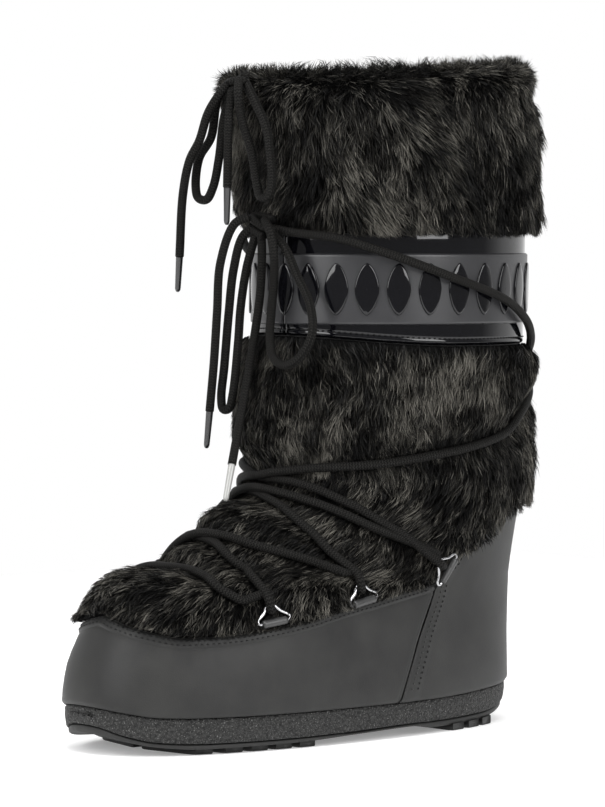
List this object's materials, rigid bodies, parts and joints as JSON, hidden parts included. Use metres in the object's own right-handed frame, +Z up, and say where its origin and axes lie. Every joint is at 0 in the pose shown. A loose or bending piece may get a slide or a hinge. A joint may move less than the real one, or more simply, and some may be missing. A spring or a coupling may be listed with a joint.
{
  "type": "apres ski boot",
  "caption": "Tall padded snow boot: fake-fur foot, ankle and cuff, glossy shaft band, rubber rand and heel, thick textured sole, round laces through rings with two bows.",
  "frame": {"origin": "on the floor under the middle of the boot's own box, laces' free parts left out", "axes": "+Z up, the toe points to -Y and the heel to +Y, +X is the wearer's left side"},
  "size_m": [0.164, 0.292, 0.355],
  "materials": {
    "upper_cloth": "matte",
    "footbed": "matte",
    "cup_rubber": "pebbled, with a fine sparkle",
    "tread_rubber": "matte",
    "rand_rubber": "satin",
    "fur": "long pile",
    "gloss_band": "patent",
    "satin_strip": "satin",
    "lace": "round braid",
    "ring_steel": "polished",
    "keeper_rubber": "satin",
    "aglet": "smooth"
  },
  "bodies": {
    "root": {"upper": "upper_cloth", "insole": "footbed", "midsole": "cup_rubber", "outsole": "tread_rubber", "forefoot_rand": "rand_rubber", "heel_counter": "rand_rubber", "foot_fur": "fur", "ankle_fur": "fur", "shaft_band": "gloss_band", "band_strip": "satin_strip", "collar_fur": "fur", "ring_left_1": "ring_steel", "ring_left_2": "ring_steel", "ring_left_3": "ring_steel", "ring_right_1": "ring_steel", "ring_right_2": "ring_steel", "ring_right_3": "ring_steel", "keeper_left_1": "keeper_rubber", "keeper_left_2": "keeper_rubber", "keeper_left_3": "keeper_rubber", "keeper_right_1": "keeper_rubber", "keeper_right_2": "keeper_rubber", "keeper_right_3": "keeper_rubber", "lace_crossings": "lace", "collar_knot": "lace", "bow_knot": "lace", "collar_loop_left": "lace", "collar_loop_right": "lace", "bow_loop_left": "lace", "bow_loop_right": "lace", "collar_end_left": "lace", "collar_end_right": "lace", "bow_end_left": "lace", "bow_end_right": "lace", "collar_end_left_aglet": "aglet", "collar_end_right_aglet": "aglet", "bow_end_left_aglet": "aglet", "bow_end_right_aglet": "aglet"}
  },
  "joints": []
}
